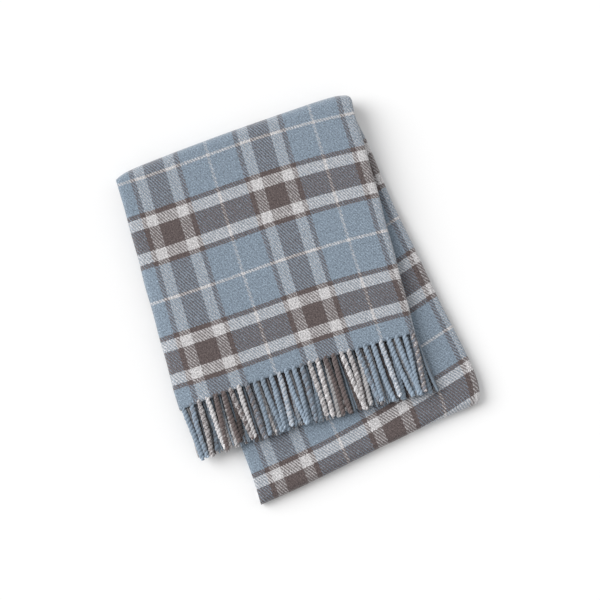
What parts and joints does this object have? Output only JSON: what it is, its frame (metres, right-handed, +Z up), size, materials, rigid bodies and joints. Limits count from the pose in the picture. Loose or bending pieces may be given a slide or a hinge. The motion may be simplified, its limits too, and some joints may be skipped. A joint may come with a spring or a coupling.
{
  "type": "folded throw blanket",
  "caption": "Plaid brushed-twill throw with a twisted tassel fringe, folded into a flat stack with its fringed end turned over as a flap that opens about the top fold.",
  "frame": {"origin": "centre of the base panel's flat underside, on the surface the folded throw lies on", "axes": "+X across the panel towards the double fold, +Y along the panel from the end fold to the top fold, +Z up"},
  "size_m": [0.3837, 0.4786, 0.034],
  "materials": {
    "plaid_twill": "brushed 2/2 wool twill, plaid of blue-grey, warm grey-brown and off-white",
    "twisted_yarn": "two-ply twisted wool tassels in the colours of the cloth's lengthwise stripes"
  },
  "bodies": {
    "root": {"base_lower_leaf_1": "plaid_twill", "base_lower_leaf_4": "plaid_twill", "base_lower_leaf_3": "plaid_twill", "base_lower_leaf_2": "plaid_twill", "base_upper_leaf_2": "plaid_twill", "base_upper_leaf_3": "plaid_twill", "base_upper_leaf_4": "plaid_twill", "base_upper_leaf_1": "plaid_twill", "base_lower_fold_a": "plaid_twill", "base_lower_fold_b": "plaid_twill", "base_lower_fold_c": "plaid_twill", "base_upper_fold_a": "plaid_twill", "base_upper_fold_b": "plaid_twill", "base_upper_fold_c": "plaid_twill", "end_bend_1": "plaid_twill", "end_bend_2": "plaid_twill", "end_bend_3": "plaid_twill", "end_bend_4": "plaid_twill", "top_bend_1": "plaid_twill", "top_bend_2": "plaid_twill", "top_bend_3": "plaid_twill", "top_bend_4": "plaid_twill", "top_bend_5": "plaid_twill", "top_bend_6": "plaid_twill", "top_bend_7": "plaid_twill", "top_bend_8": "plaid_twill"},
    "flap": {"flap_lower_leaf_1": "plaid_twill", "flap_lower_leaf_4": "plaid_twill", "flap_lower_leaf_3": "plaid_twill", "flap_lower_leaf_2": "plaid_twill", "flap_upper_leaf_2": "plaid_twill", "flap_upper_leaf_3": "plaid_twill", "flap_upper_leaf_4": "plaid_twill", "flap_upper_leaf_1": "plaid_twill", "flap_lower_fold_a": "plaid_twill", "flap_lower_fold_b": "plaid_twill", "flap_lower_fold_c": "plaid_twill", "flap_upper_fold_a": "plaid_twill", "flap_upper_fold_b": "plaid_twill", "flap_upper_fold_c": "plaid_twill"},
    "fringe_1": {"fringe_lower_1": "twisted_yarn", "fringe_upper_1": "twisted_yarn"},
    "fringe_2": {"fringe_lower_2": "twisted_yarn", "fringe_upper_2": "twisted_yarn"},
    "fringe_3": {"fringe_lower_3": "twisted_yarn", "fringe_upper_3": "twisted_yarn"},
    "fringe_4": {"fringe_lower_4": "twisted_yarn", "fringe_upper_4": "twisted_yarn"},
    "fringe_5": {"fringe_lower_5": "twisted_yarn", "fringe_upper_5": "twisted_yarn"}
  },
  "joints": [
    {"name": "flap_open", "type": "hinge", "parent": "root", "child": "flap", "pos_m": [0, 0.2345, 0.017], "axis": [-0.9982, 0.0593, 0], "range_deg": [0, 180], "deforming": ["top_bend_1", "top_bend_2", "top_bend_3", "top_bend_4", "top_bend_5", "top_bend_6", "top_bend_7", "top_bend_8"]},
    {"name": "fringe_1_lift", "type": "hinge", "parent": "flap", "child": "fringe_1", "pos_m": [-0.04989, -0.09752, 0.034], "axis": [-0.9949, 0.1011, 0], "range_deg": [0, 150]},
    {"name": "fringe_2_lift", "type": "hinge", "parent": "flap", "child": "fringe_2", "pos_m": [-0.04989, -0.09752, 0.034], "axis": [-0.9949, 0.1011, 0], "range_deg": [0, 150]},
    {"name": "fringe_3_lift", "type": "hinge", "parent": "flap", "child": "fringe_3", "pos_m": [-0.04989, -0.09752, 0.034], "axis": [-0.9949, 0.1011, 0], "range_deg": [0, 150]},
    {"name": "fringe_4_lift", "type": "hinge", "parent": "flap", "child": "fringe_4", "pos_m": [-0.04989, -0.09752, 0.034], "axis": [-0.9949, 0.1011, 0], "range_deg": [0, 150]},
    {"name": "fringe_5_lift", "type": "hinge", "parent": "flap", "child": "fringe_5", "pos_m": [-0.04989, -0.09752, 0.034], "axis": [-0.9949, 0.1011, 0], "range_deg": [0, 150]}
  ]
}
